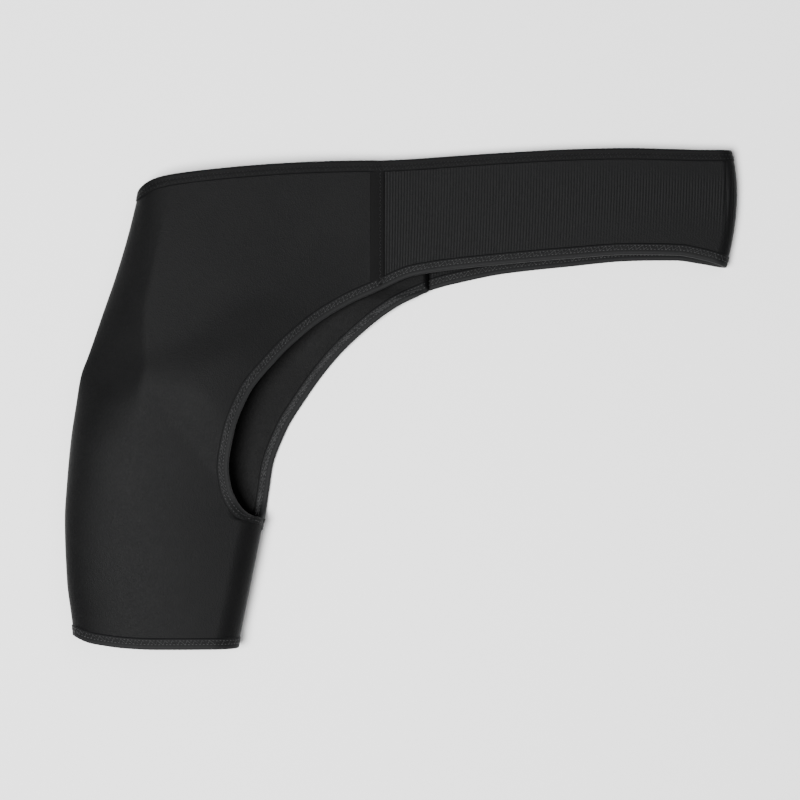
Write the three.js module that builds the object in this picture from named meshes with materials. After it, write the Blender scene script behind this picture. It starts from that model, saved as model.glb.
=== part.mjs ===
import * as THREE from 'three';

// Sizes in millimetres. The brace lies on its back layer, X along the chest, Y toward the shoulder, Z up.
const neopreneWall = 3.5; // padded cloth of the shoulder, panels and sleeve
const strapWall = 2.8; // ribbed band
const tapeWall = 0.8; // one layer of binding tape
const clearance = 0.3; // between layers that are sewn on each other
const bindingWidth = 9; // how far each binding reaches over the cloth
const bindingRound = 0.25; // extra height of a binding along its folded edge

const sleeveLength = 114.5; // cuff to armpit
const sleeveWidth = 175.5; // flat, at the armpit
const sleeveTaper = 23; // loss of width on the inner side, armpit to cuff
const cuffInset = 8; // loss of width on the outer side
const cuffRise = 11; // hem's outer corner above the rest of it

const shoulderRise = 294.8; // armpit to the top of the shoulder fold
const shoulderInset = 66; // fold's lean from sleeve to neckline
const neckRise = 27; // neckline, fold to front seam
const armholeReach = 104; // armpit to front seam
const backReach = 150; // armpit to the end of the back panel

const loftHeight = 50; // crest of the shoulder
const ridgeReach = 70; // crest to the outer fold
const tailReach = 250; // crest down to the level strap
const noseHeight = 21; // middle of the outer fold
const noseReach = 24; // outer fold on the back layer
const underarmHeight = 20; // fold under the arm
const underarmReach = 20; // its depth on the front
const underarmBack = 28; // its depth on the back layer

const strapLength = 318; // front seam to the far fold
const strapWidth = 92.5;
const strapFlare = 22; // extra width at the front seam
const foldFlare = 11.5; // extra width at the far fold
const strapRise = 11.6; // climb of the upper edge
const strapLoft = 21; // height of the upper run
const backDrop = 15; // lower run shows below the upper one
const foldReach = 11; // depth of the far fold
const foldBow = 7.2; // far fold's bulge
const foldInset = 4.5; // far fold's lower end lies further in
const closureOverlap = 70; // free end under the back panel
const closureTaper = 13; // free end narrows by this on each side
const seamTapeWidth = 12.6;

const seamHeight = strapWidth + strapFlare;
const armholeHeight = shoulderRise + neckRise - seamHeight;
const armpitHeight = sleeveLength;
const shoulderTop = sleeveLength + shoulderRise;
const seamLow = armpitHeight + armholeHeight;
const seamTop = seamLow + seamHeight;
const seamShare = 1 - armholeHeight / shoulderRise;
const seamX = sleeveWidth + armholeReach;
const panelEndX = sleeveWidth + backReach;
const tapeInner = neopreneWall / 2 + clearance;
const tapeOuter = tapeInner + tapeWall;
const boundHeight = tapeOuter + bindingRound;
const closureRise = 2 * boundHeight + 2 * clearance;
const edgeLift = boundHeight - neopreneWall / 2;
const edgeGap = 1.5 * clearance; // cloth's edge to the tape folded round it
const hemTape = tapeWall + edgeGap;

const innerRow = 0.26; // share of the height that lies above the third row
const panelRows = 5;
const armholeRows = 15;
const sleeveRows = 9;
const backColumns = 9;
const backNoseColumns = 4;
const frontNoseColumns = 6;
const frontColumns = 9;
const strapFrontColumns = 13;
const strapFoldColumns = 8;
const strapBackColumns = 13;

// Outer fold: shares of shoulderInset and cuffInset. 0 neckline, 1 armpit, 2 cuff.
const foldTable = [
  { at: 0, shoulder: 1, cuff: 0 },
  { at: 0.118, shoulder: 0.873, cuff: 0 },
  { at: 0.25, shoulder: 0.7, cuff: 0 },
  { at: 0.361, shoulder: 0.53, cuff: 0 },
  { at: 0.5, shoulder: 0.318, cuff: 0 },
  { at: 0.56, shoulder: 0.22, cuff: 0 },
  { at: 0.65, shoulder: 0.152, cuff: 0 },
  { at: 0.755, shoulder: 0.084, cuff: 0 },
  { at: 0.877, shoulder: 0.033, cuff: 0 },
  { at: 1, shoulder: 0, cuff: 0 },
  { at: 1.5, shoulder: 0, cuff: 0.24 },
  { at: 1.8, shoulder: 0, cuff: 0.7 },
  { at: 2, shoulder: 0, cuff: 1 },
];

// Cross sections: shares of noseHeight, ridgeReach, loftHeight and tailReach.
const sectionTable = [
  { at: 0, nose: 0.81, ridge: 0.49, loft: 0.68, tail: 1 },
  { at: 0.3, nose: 0.86, ridge: 0.54, loft: 0.8, tail: 0.96 },
  { at: 0.55, nose: 0.95, ridge: 0.74, loft: 0.97, tail: 0.92 },
  { at: 0.65, nose: 0.97, ridge: 0.8, loft: 1, tail: 0.9 },
  { at: 0.8, nose: 0.99, ridge: 0.89, loft: 0.96, tail: 0.88 },
  { at: 1, nose: 1, ridge: 0.97, loft: 0.92, tail: 0.86 },
  { at: 1.5, nose: 0.98, ridge: 1, loft: 0.88, tail: 0.82 },
  { at: 2, nose: 0.95, ridge: 0.97, loft: 0.84, tail: 0.76 },
];

// Armhole edges: shares of armholeReach and backReach, by the root of the height above the armpit.
const armholeTable = [
  { at: 0, front: 0, back: 0 },
  { at: 0.09, front: -0.015, back: 0.002 },
  { at: 0.18, front: -0.1, back: 0.007 },
  { at: 0.34, front: -0.247, back: 0.026 },
  { at: 0.48, front: -0.286, back: 0.048 },
  { at: 0.62, front: -0.237, back: 0.128 },
  { at: 0.74, front: -0.11, back: 0.267 },
  { at: 0.84, front: 0.14, back: 0.434 },
  { at: 0.92, front: 0.445, back: 0.638 },
  { at: 0.97, front: 0.742, back: 0.824 },
  { at: 1, front: 1, back: 1 },
];

// Hem: share of cuffRise across the flat sleeve.
const hemTable = [
  { at: 0, lift: 1 },
  { at: 0.1, lift: 0.51 },
  { at: 0.2, lift: 0.31 },
  { at: 0.33, lift: 0.13 },
  { at: 0.5, lift: 0.03 },
  { at: 1, lift: 0 },
];

// Strap: shares of strapRise, strapFlare, foldFlare and backDrop from front seam to far fold.
const strapTable = [
  { at: 0, rise: 0, flare: 1, fold: 0, drop: 1 },
  { at: 0.105, rise: 0.15, flare: 0.445, fold: 0, drop: 1.08 },
  { at: 0.208, rise: 0.36, flare: 0.315, fold: 0, drop: 0.84 },
  { at: 0.37, rise: 0.655, flare: 0.23, fold: 0, drop: 0.5 },
  { at: 0.533, rise: 0.89, flare: 0.145, fold: 0, drop: 0.43 },
  { at: 0.7, rise: 1, flare: 0.035, fold: 0, drop: 0.33 },
  { at: 0.85, rise: 0.91, flare: 0, fold: 0.03, drop: 0.24 },
  { at: 0.92, rise: 0.86, flare: 0, fold: 0.33, drop: 0.17 },
  { at: 1, rise: 0.86, flare: 0, fold: 1, drop: 0 },
];

const clamp = (value) => Math.min(Math.max(value, 0), 1);
const mix = (from, to, share) => from + (to - from) * share;
const ease = (value) => clamp(value) ** 2 * (3 - 2 * clamp(value));
const rounding = (value) => Math.sqrt(1 - (1 - clamp(value)) ** 2); // quarter of an ellipse

// Smooth value of one column of a table, without overshoot.
function lookUp(table, column, at) {
  const last = table.length - 1;
  const place = Math.min(Math.max(at, table[0].at), table[last].at);
  let k = 0;
  while (k < last - 1 && place > table[k + 1].at) k += 1;
  const slope = (i) => (table[i + 1][column] - table[i][column]) / (table[i + 1].at - table[i].at);
  const tangent = (i) => {
    if (i === 0) return slope(0);
    if (i === last) return slope(last - 1);
    const before = slope(i - 1);
    const after = slope(i);
    return before * after <= 0 ? 0 : (2 * before * after) / (before + after);
  };
  const run = table[k + 1].at - table[k].at;
  const u = (place - table[k].at) / run;
  const start = table[k][column] * (1 + 2 * u) * (1 - u) ** 2 + tangent(k) * run * u * (1 - u) ** 2;
  const end = table[k + 1][column] * (3 - 2 * u) * u ** 2 - tangent(k + 1) * run * (1 - u) * u ** 2;
  return start + end;
}

function foldX(t) {
  return shoulderInset * lookUp(foldTable, 'shoulder', t) + cuffInset * lookUp(foldTable, 'cuff', t);
}

function edgeX(t, side) {
  if (t >= 1) return sleeveWidth - sleeveTaper * (t - 1);
  const reach = side === 'front' ? armholeReach : backReach;
  const root = Math.sqrt(clamp((1 - t) / (1 - seamShare)));
  return sleeveWidth + reach * lookUp(armholeTable, side, root);
}

function section(t) {
  return {
    nose: noseHeight * lookUp(sectionTable, 'nose', t),
    ridge: ridgeReach * lookUp(sectionTable, 'ridge', t),
    loft: loftHeight * lookUp(sectionTable, 'loft', t),
    tail: tailReach * lookUp(sectionTable, 'tail', t),
  };
}

// Upper edge of the panel, and of the strap past the front seam.
function neckY(x) {
  if (x > seamX) return seamTop + strapRise * lookUp(strapTable, 'rise', (x - seamX) / strapLength);
  const share = clamp((x - shoulderInset) / (seamX - shoulderInset));
  const quick = 1 - Math.exp(-share / 0.04);
  const slow = 1 - (1 - share) ** 1.9;
  return shoulderTop + neckRise * mix(slow, quick, 0.36);
}

function hemY(x) {
  const width = sleeveWidth - sleeveTaper - cuffInset;
  return hemTape + cuffRise * lookUp(hemTable, 'lift', (x - cuffInset) / width);
}

function rowY(t, x) {
  if (t <= seamShare) return mix(neckY(x), seamLow, t / seamShare);
  if (t <= 1) return shoulderTop - shoulderRise * t;
  return armpitHeight * (2 - t) + hemY(x) * (t - 1) ** 2;
}

// Soft swell on the upper arm, and the crease that runs from it toward the armpit.
function relief(x, y) {
  const swellX = x / sleeveWidth - 0.42;
  const swellY = (y - armpitHeight) / shoulderRise - 0.46;
  const swell = 3 * Math.exp(-60 * (swellX ** 2 + swellY ** 2));
  const startX = 0.43 * sleeveWidth;
  const startY = armpitHeight + 0.41 * shoulderRise;
  const runX = 0.34 * sleeveWidth;
  const runY = -0.29 * shoulderRise;
  const along = ((x - startX) * runX + (y - startY) * runY) / (runX ** 2 + runY ** 2);
  const nearest = clamp(along);
  const away = Math.hypot(x - startX - runX * nearest, y - startY - runY * nearest);
  return swell - 2 * Math.exp(-((away / 13) ** 2));
}

function frontHeight(t, distance, x, y) {
  const shape = section(t);
  const fall = clamp((distance - shape.ridge) / shape.tail);
  const open = strapLoft + (shape.loft - strapLoft) * 0.5 * (1 + Math.cos(Math.PI * fall));
  const above = shoulderRise * Math.max(0, 1 - t);
  const toTip = edgeX(t, 'front') - foldX(t) - distance + 0.6 * above * (1 + above / 50);
  const tip = rounding(toTip / underarmReach);
  const nose = rounding(distance / shape.ridge);
  const raised = open + relief(x, y) * tip;
  return mix(shape.nose, mix(underarmHeight, raised, tip), nose);
}

function backFloor(t, x, y) {
  const toNeck = t < 1 ? neckY(x) - y : bindingWidth * 9;
  const toHem = y - hemY(x);
  const toEdge = t < 1 ? edgeX(t, 'back') - x : bindingWidth * 9;
  const slant = t <= seamShare ? bindingWidth * 9 : toEdge * edgeSlant(t, 'back');
  const away = Math.min(toNeck, toHem, slant) - bindingWidth * 1.1;
  const lift = edgeLift * (1 - ease(away / (bindingWidth * 2.2)));
  const across = ease((x - sleeveWidth) / (backReach * 0.36));
  const down = 1 - ease((t - seamShare * 1.15) / (seamShare * 0.7));
  return neopreneWall / 2 + lift + closureRise * across * down;
}

function backHeight(t, distance, x, y) {
  const above = shoulderRise * Math.max(0, 1 - t);
  const toTip = edgeX(t, 'back') - foldX(t) - distance + 1.35 * above;
  const under = mix(underarmHeight, backFloor(t, x, y), rounding(toTip / underarmBack));
  return mix(section(t).nose, under, rounding(distance / noseReach));
}

// Sine of the angle between an armhole edge and a row across the panel.
function edgeSlant(t, side) {
  const step = 0.004;
  const low = Math.min(t + step, 1);
  const high = Math.max(t - step, seamShare);
  const run = edgeX(high, side) - edgeX(low, side);
  const rise = shoulderRise * (low - high);
  return rise / Math.hypot(run, rise);
}

// Width of the outermost column, so that bindings keep their width on slanted edges.
function edgeStep(t, side) {
  if (t < seamShare - 1e-9) return side === 'front' ? seamTapeWidth * 0.6 : bindingWidth;
  const widest = bindingWidth * 2.4;
  if (t <= 1) return Math.min(widest, bindingWidth / edgeSlant(Math.min(t, 0.999), side));
  const start = side === 'front' ? widest : bindingWidth;
  return mix(start, bindingWidth * 0.8, ease((t - 1) * 4));
}

function rowShares() {
  const shares = [];
  const height = shoulderTop - seamLow;
  for (let i = 0; i <= panelRows; i += 1) shares.push(seamShare * (rowDrop(i, height) / height));
  for (let i = 1; i <= armholeRows; i += 1) {
    shares.push(1 - (1 - seamShare) * (1 - i / armholeRows) ** 1.65);
  }
  const bound = bindingWidth / sleeveLength;
  const inner = sleeveRows - 2;
  for (let i = 0; i <= inner; i += 1) shares.push(1 + mix(bound, 1 - bound, i / inner));
  shares.push(2);
  return shares;
}

// Drop of each panel or strap row below the upper edge.
function rowDrop(row, height) {
  if (row === 0) return 0;
  if (row === 1) return bindingWidth;
  if (row === 2) return innerRow * height;
  if (row === 3) return (1 - innerRow) * height;
  return row === 4 ? height - bindingWidth : height;
}

function bodyPoint(row, t, side, distance) {
  const x = foldX(t) + distance;
  let y = rowY(t, x);
  let share = t;
  if (row <= panelRows) {
    const height = neckY(x) - seamLow;
    y = neckY(x) - rowDrop(row, height);
    share = seamShare * (rowDrop(row, height) / height);
  }
  const height = side === 'front' ? frontHeight : backHeight;
  return new THREE.Vector3(x, y, height(share, distance, x, y));
}

// One row from the back layer's edge round the outer fold to the front's edge.
function bodyRow(row, t) {
  const points = [];
  const ridge = section(t).ridge;
  const backEdge = edgeX(t, 'back') - foldX(t);
  const backInner = backEdge - edgeStep(t, 'back');
  const frontEdge = edgeX(t, 'front') - foldX(t);
  const frontInner = frontEdge - edgeStep(t, 'front');
  const bunch = 1 + 0.6 * ease((t - 0.6) * 2.5);
  points.push(bodyPoint(row, t, 'back', backEdge));
  points.push(bodyPoint(row, t, 'back', mix(backEdge, backInner, 0.4)));
  for (let i = 0; i < backColumns - 1; i += 1) {
    const share = (i / (backColumns - 1)) ** bunch;
    points.push(bodyPoint(row, t, 'back', mix(backInner, noseReach, share)));
  }
  for (let i = 0; i < backNoseColumns; i += 1) {
    const angle = (i / backNoseColumns) * (Math.PI / 2);
    points.push(bodyPoint(row, t, 'back', noseReach * (1 - Math.sin(angle))));
  }
  for (let i = 0; i < frontNoseColumns; i += 1) {
    const angle = (i / frontNoseColumns) * (Math.PI / 2);
    points.push(bodyPoint(row, t, 'front', ridge * (1 - Math.cos(angle))));
  }
  for (let i = 0; i < frontColumns; i += 1) {
    const share = 1 - (1 - i / (frontColumns - 1)) ** bunch;
    points.push(bodyPoint(row, t, 'front', mix(ridge, frontInner, share)));
  }
  points.push(bodyPoint(row, t, 'front', mix(frontEdge, frontInner, 0.3)));
  points.push(bodyPoint(row, t, 'front', frontEdge));
  return points;
}

function strapTop(x) {
  const from = Math.max(x, panelEndX);
  return neckY(from) - closureTaper * ease((panelEndX - x) / closureOverlap);
}

function strapHeight(x, drop) {
  const share = (x - seamX) / strapLength;
  const width = strapWidth + strapFlare * lookUp(strapTable, 'flare', share);
  return width + foldFlare * lookUp(strapTable, 'fold', share)
    + drop * backDrop * lookUp(strapTable, 'drop', share);
}

function strapBackHeight(x) {
  const from = Math.max(x, panelEndX);
  return strapHeight(from, 1) - 2 * closureTaper * ease((panelEndX - x) / closureOverlap);
}

function foldTipX(row) {
  const across = rowDrop(row, strapWidth) / strapWidth;
  const bow = 4 * across ** 0.85 * (1 - across ** 0.85);
  return seamX + strapLength - foldInset * across + foldBow * bow;
}

function strapFront(row, x) {
  const height = strapHeight(x, 0);
  const drop = rowDrop(row, height);
  const t = seamShare * (drop / height);
  const y = neckY(x) - drop;
  return new THREE.Vector3(x, y, frontHeight(t, x - foldX(t), x, y));
}

function strapBack(row, x) {
  const bound = row < 2 || row > 3;
  const y = strapTop(x) - rowDrop(row, strapBackHeight(x));
  return new THREE.Vector3(x, y, bound ? boundHeight : strapWall / 2);
}

// One row from the front seam along the upper run, round the far fold and back to the free end.
function strapRow(row) {
  const points = [];
  const tip = foldTipX(row);
  const foldStart = tip - foldReach;
  const start = seamX + clearance;
  const freeEnd = panelEndX - closureOverlap;
  points.push(strapFront(row, start));
  for (let i = 0; i < strapFrontColumns; i += 1) {
    const share = i / (strapFrontColumns - 1);
    points.push(strapFront(row, mix(seamX + seamTapeWidth * 0.4, foldStart, share)));
  }
  const upper = strapFront(row, foldStart);
  const lower = strapBack(row, foldStart);
  for (let i = 1; i < strapFoldColumns; i += 1) {
    const angle = (i / strapFoldColumns) * Math.PI;
    const x = foldStart + foldReach * Math.sin(angle);
    const y = mix(strapFront(row, x).y, strapBack(row, x).y, ease(i / strapFoldColumns));
    const z = mix(lower.z, upper.z, 0.5 + 0.5 * Math.cos(angle));
    points.push(new THREE.Vector3(x, y, z));
  }
  for (let i = 0; i <= strapBackColumns; i += 1) {
    points.push(strapBack(row, mix(foldStart, freeEnd, i / strapBackColumns)));
  }
  return points;
}

// Both cloths share one list of points, so that the bindings can run over their joint.
const cloth = { points: [], bodyRows: [], strapRows: [] };

function layOutCloth() {
  const add = (point) => cloth.points.push(point) - 1;
  rowShares().forEach((t, row) => {
    const points = bodyRow(row, t);
    const closed = t >= 1;
    const indices = points.slice(0, closed ? -1 : undefined).map(add);
    if (closed) indices.push(indices[0]);
    cloth.bodyRows.push(indices);
  });
  for (let row = 0; row <= panelRows; row += 1) cloth.strapRows.push(strapRow(row).map(add));
}

// Two triangles of a cell, outer side up. The leaning one has its diagonal toward the first column.
function cellTriangles(upper, lower, column, leaning) {
  const [a, b] = [upper[column], upper[column + 1]];
  const [c, d] = [lower[column], lower[column + 1]];
  return leaning ? [[a, c, b], [b, c, d]] : [[a, c, d], [a, d, b]];
}

function gridCells(rows, fromRow, toRow, fromColumn, toColumn, leaning) {
  const triangles = [];
  for (let row = fromRow; row < toRow; row += 1) {
    for (let column = fromColumn; column < toColumn; column += 1) {
      triangles.push(...cellTriangles(rows[row], rows[row + 1], column, leaning(row, column)));
    }
  }
  return triangles;
}

const armpitRow = panelRows + armholeRows;
const lastRow = armpitRow + sleeveRows;
const noseColumn = backColumns + 1 + backNoseColumns;
const lastColumn = noseColumn + frontNoseColumns + frontColumns + 1;
const frontBand = lastColumn - 2;
const backBand = 2;
const strapLast = strapFrontColumns + strapFoldColumns + strapBackColumns;
const bodyLeaning = (row, column) => (column >= noseColumn) === (row < armpitRow);
const upright = () => true;

function bodyCells(fromRow, toRow, fromColumn, toColumn) {
  return gridCells(cloth.bodyRows, fromRow, toRow, fromColumn, toColumn, bodyLeaning);
}

function strapCells(fromRow, toRow) {
  return gridCells(cloth.strapRows, fromRow, toRow, 0, strapLast, upright);
}

function jointCells(fromRow, toRow) {
  const rows = cloth.strapRows.map((row, i) => [cloth.bodyRows[i][lastColumn], row[0]]);
  return gridCells(rows, fromRow, toRow, 0, 1, upright);
}

function faceNormal([a, b, c]) {
  const side = new THREE.Vector3().subVectors(cloth.points[b], cloth.points[a]);
  const other = new THREE.Vector3().subVectors(cloth.points[c], cloth.points[a]);
  return side.cross(other);
}

// Directions out of the cloth, lengthened at tight folds so that every layer keeps its thickness.
function outwardDirections(triangles) {
  const sums = cloth.points.map(() => new THREE.Vector3());
  const faces = cloth.points.map(() => []);
  for (const triangle of triangles) {
    const normal = faceNormal(triangle);
    for (const index of triangle) {
      sums[index].add(normal);
      faces[index].push(normal.clone().normalize());
    }
  }
  return sums.map((sum, index) => {
    const direction = sum.normalize();
    const spread = faces[index].reduce((total, face) => total + face.dot(direction), 0);
    const mean = faces[index].length ? spread / faces[index].length : 1;
    return direction.multiplyScalar(1 / Math.max(mean, 0.62));
  });
}

function openEdges(triangles) {
  const seen = new Set(triangles.flatMap(([a, b, c]) => [`${a},${b}`, `${b},${c}`, `${c},${a}`]));
  return [...seen].map((key) => key.split(',').map(Number)).filter(([a, b]) => !seen.has(`${b},${a}`));
}

// Collects triangles of one solid, welding its corners by key.
function solidBuilder() {
  const corners = new Map();
  const positions = [];
  const index = [];
  const corner = (key, point) => {
    if (!corners.has(key)) {
      corners.set(key, positions.length / 3);
      positions.push(point.x, point.y, point.z);
    }
    return corners.get(key);
  };
  const geometry = () => {
    const result = new THREE.BufferGeometry();
    result.setAttribute('position', new THREE.Float32BufferAttribute(positions, 3));
    result.setIndex(index);
    result.computeVertexNormals();
    return result;
  };
  return { corner, index, geometry };
}

function offsetPoint(index, height) {
  return cloth.points[index].clone().addScaledVector(cloth.outward[index], height);
}

// Solid layer over some triangles of the cloth, between two heights.
function layer(triangles, low, high, place = offsetPoint) {
  const solid = solidBuilder();
  const top = (i) => solid.corner(`${i} top`, place(i, high));
  const bottom = (i) => solid.corner(`${i} bottom`, place(i, low));
  for (const [a, b, c] of triangles) {
    solid.index.push(top(a), top(b), top(c), bottom(c), bottom(b), bottom(a));
  }
  for (const [a, b] of openEdges(triangles)) {
    solid.index.push(top(b), top(a), bottom(a), top(b), bottom(a), bottom(b));
  }
  return solid.geometry();
}

// Direction off the cloth at each bound corner, in the plane of the faces beside it.
function edgeDirections(triangles, isBound) {
  const outs = new Map();
  for (const triangle of triangles) {
    const normal = faceNormal(triangle);
    for (let i = 0; i < 3; i += 1) {
      const edge = [triangle[i], triangle[(i + 1) % 3]];
      if (!isBound(edge)) continue;
      const along = new THREE.Vector3().subVectors(cloth.points[edge[1]], cloth.points[edge[0]]);
      const out = along.cross(normal).normalize();
      for (const end of edge) outs.set(end, [...(outs.get(end) ?? []), out]);
    }
  }
  const away = new Map();
  outs.forEach((list, index) => {
    const sum = list.reduce((total, out) => total.add(out), new THREE.Vector3()).normalize();
    const mean = list.reduce((total, out) => total + out.dot(sum), 0) / list.length;
    away.set(index, sum.multiplyScalar(1 / Math.max(mean, 0.62)));
  });
  return away;
}

// Folded tape: two thin layers joined round the bound edges of the cloth.
function binding(triangles, boundPath) {
  const bound = new Set();
  for (let i = 1; i < boundPath.length; i += 1) {
    bound.add(`${boundPath[i - 1]},${boundPath[i]}`).add(`${boundPath[i]},${boundPath[i - 1]}`);
  }
  const edges = openEdges(triangles);
  const isBound = ([a, b]) => bound.has(`${a},${b}`);
  const away = edgeDirections(triangles, isBound);
  const solid = solidBuilder();
  const corner = (level, beyond) => (i) => {
    const round = away.has(i) ? Math.sign(level) * bindingRound : 0;
    const point = offsetPoint(i, level + round);
    if (away.has(i)) point.addScaledVector(away.get(i), beyond);
    return solid.corner(`${i} ${level}`, point);
  };
  const [a4, a3] = [corner(tapeOuter, edgeGap + tapeWall), corner(tapeInner, edgeGap)];
  const [a2, a1] = [corner(-tapeInner, edgeGap), corner(-tapeOuter, edgeGap + tapeWall)];
  const quad = (p, q, r, s) => solid.index.push(p, q, r, p, r, s);
  for (const [a, b, c] of triangles) {
    solid.index.push(a4(a), a4(b), a4(c), a3(c), a3(b), a3(a));
    solid.index.push(a2(a), a2(b), a2(c), a1(c), a1(b), a1(a));
  }
  const starts = new Set(edges.filter(isBound).map(([a]) => a));
  const ends = new Set(edges.filter(isBound).map(([, b]) => b));
  for (const edge of edges) {
    const [a, b] = edge;
    if (isBound(edge)) {
      quad(a4(b), a4(a), a1(a), a1(b));
      quad(a3(b), a2(b), a2(a), a3(a));
      if (!starts.has(b)) quad(a4(b), a1(b), a2(b), a3(b));
      if (!ends.has(a)) quad(a4(a), a3(a), a2(a), a1(a));
    } else {
      quad(a4(b), a4(a), a3(a), a3(b));
      quad(a2(b), a2(a), a1(a), a1(b));
    }
  }
  return solid.geometry();
}

function column(rows, at, from, to) {
  return rows.slice(from, to + 1).map((row) => row[at]);
}

function neckBinding() {
  const triangles = [...bodyCells(0, 1, 0, lastColumn), ...jointCells(0, 1), ...strapCells(0, 1)];
  return binding(triangles, [...cloth.bodyRows[0], ...cloth.strapRows[0]]);
}

function underarmBinding() {
  const low = panelRows;
  const frontCorner = bodyCells(low - 1, low, frontBand, lastColumn).slice(1);
  const backCorner = bodyCells(low - 1, low, 0, backBand).slice(0, 3);
  const underarm = bodyCells(armpitRow, armpitRow + 1, frontBand, lastColumn).slice(1);
  const backUnderarm = bodyCells(armpitRow, armpitRow + 1, 0, backBand).slice(0, 3);
  const triangles = [
    ...strapCells(low - 1, low), ...jointCells(low - 1, low), ...frontCorner,
    ...bodyCells(low, armpitRow, frontBand, lastColumn), ...underarm, ...backUnderarm,
    ...bodyCells(low, armpitRow, 0, backBand), ...backCorner,
  ];
  const strapPath = [...cloth.strapRows[low]].reverse();
  const frontPath = column(cloth.bodyRows, lastColumn, low, armpitRow);
  const backPath = column(cloth.bodyRows, 0, low, armpitRow).reverse();
  return binding(triangles, [...strapPath, ...frontPath, ...backPath]);
}

function cuffBinding() {
  return binding(bodyCells(lastRow - 1, lastRow, 0, lastColumn), cloth.bodyRows[lastRow]);
}

// Flat tape over the joint of panel and strap, stopping short of both bindings.
function seamTape() {
  const rows = [];
  for (let row = 1; row < panelRows; row += 1) {
    const body = cloth.bodyRows[row];
    const strap = cloth.strapRows[row];
    rows.push([...body.slice(frontBand), strap[0], strap[1]]);
  }
  const end = rows.length - 1;
  const shortened = (index, height) => {
    const point = offsetPoint(index, height);
    const upper = rows[0].indexOf(index);
    const lower = rows[end].indexOf(index);
    if (upper >= 0) point.addScaledVector(towards(index, rows[1][upper]), 2 * clearance);
    if (lower >= 0) point.addScaledVector(towards(index, rows[end - 1][lower]), 2 * clearance);
    return point;
  };
  const triangles = gridCells(rows, 0, end, 0, rows[0].length - 1, upright);
  return layer(triangles, tapeInner, tapeOuter, shortened);
}

function towards(from, to) {
  return new THREE.Vector3().subVectors(cloth.points[to], cloth.points[from]).normalize();
}

// Plain pad that holds the free end of the strap to the back panel.
function hookPad() {
  const freeHeight = strapBackHeight(panelEndX - closureOverlap);
  const centreX = panelEndX - closureOverlap / 2;
  const centreY = strapTop(centreX) - strapBackHeight(centreX) / 2;
  const width = closureOverlap * 0.8;
  const height = freeHeight * 0.4;
  const thickness = closureRise - strapWall - 2 * clearance;
  const shape = new THREE.Shape();
  const radius = height * 0.12;
  shape.moveTo(-width / 2 + radius, -height / 2);
  for (const [x, y, turn] of [[1, -1, -0.5], [1, 1, 0], [-1, 1, 0.5], [-1, -1, 1]]) {
    const cornerX = x * (width / 2 - radius);
    const cornerY = y * (height / 2 - radius);
    shape.absarc(cornerX, cornerY, radius, turn * Math.PI, (turn + 0.5) * Math.PI, false);
  }
  const settings = { depth: thickness, bevelEnabled: false, curveSegments: 4 };
  const geometry = new THREE.ExtrudeGeometry(shape, settings);
  geometry.translate(centreX, centreY, strapWall + clearance);
  return geometry;
}

layOutCloth();
const bodyTriangles = bodyCells(0, lastRow, 0, lastColumn);
const strapTriangles = strapCells(0, panelRows);
cloth.outward = outwardDirections([...bodyTriangles, ...jointCells(0, panelRows), ...strapTriangles]);

const group = new THREE.Group();
const addPiece = (name, geometry, color, roughness) => {
  const mesh = new THREE.Mesh(geometry, new THREE.MeshStandardMaterial({ color, roughness }));
  mesh.name = name;
  group.add(mesh);
};

addPiece('body_panel', layer(bodyTriangles, -neopreneWall / 2, neopreneWall / 2), 0x2b2b2d, 0.9);
addPiece('chest_strap', layer(strapTriangles, -strapWall / 2, strapWall / 2), 0x303033, 0.95);
addPiece('seam_tape', seamTape(), 0x222224, 0.85);
addPiece('neck_binding', neckBinding(), 0x262628, 0.8);
addPiece('underarm_binding', underarmBinding(), 0x28282a, 0.8);
addPiece('cuff_binding', cuffBinding(), 0x2a2a2c, 0.8);
addPiece('hook_pad', hookPad(), 0x1c1c1e, 0.95);

// Stand the whole brace on the floor, centred on the origin.
const bounds = new THREE.Box3().setFromObject(group);
const middle = bounds.getCenter(new THREE.Vector3());
for (const mesh of group.children) mesh.geometry.translate(-middle.x, -middle.y, -bounds.min.z);

export default group;
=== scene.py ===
import math
from functools import lru_cache

import bmesh
import bpy
from mathutils import Matrix, Vector
from mathutils.bvhtree import BVHTree


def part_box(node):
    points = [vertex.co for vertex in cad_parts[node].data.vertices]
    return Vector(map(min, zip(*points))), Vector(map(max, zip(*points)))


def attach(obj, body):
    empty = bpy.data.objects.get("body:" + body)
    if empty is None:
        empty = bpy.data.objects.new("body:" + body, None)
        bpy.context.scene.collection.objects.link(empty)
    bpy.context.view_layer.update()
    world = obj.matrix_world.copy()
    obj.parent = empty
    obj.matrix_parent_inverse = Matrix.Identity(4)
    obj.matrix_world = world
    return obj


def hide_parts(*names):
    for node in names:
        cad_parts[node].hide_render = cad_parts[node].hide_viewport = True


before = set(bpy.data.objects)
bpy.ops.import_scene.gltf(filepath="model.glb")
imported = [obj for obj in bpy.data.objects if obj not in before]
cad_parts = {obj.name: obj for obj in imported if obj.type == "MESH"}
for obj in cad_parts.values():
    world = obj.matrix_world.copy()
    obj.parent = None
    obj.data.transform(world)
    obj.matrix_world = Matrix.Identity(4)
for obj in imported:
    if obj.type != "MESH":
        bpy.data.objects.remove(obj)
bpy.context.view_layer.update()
print("frame loaded")

mm = 0.001

# Camera straight above the brace, as in the photograph.
cameraLook = {
    "sensor": 36,
    "height": 2.2,
    "across": 0.72,  # width of the view at strapHeight
    "strapHeight": 0.02,
    "shiftX": -0.0012,
    "shiftY": -0.0016,
}


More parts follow.
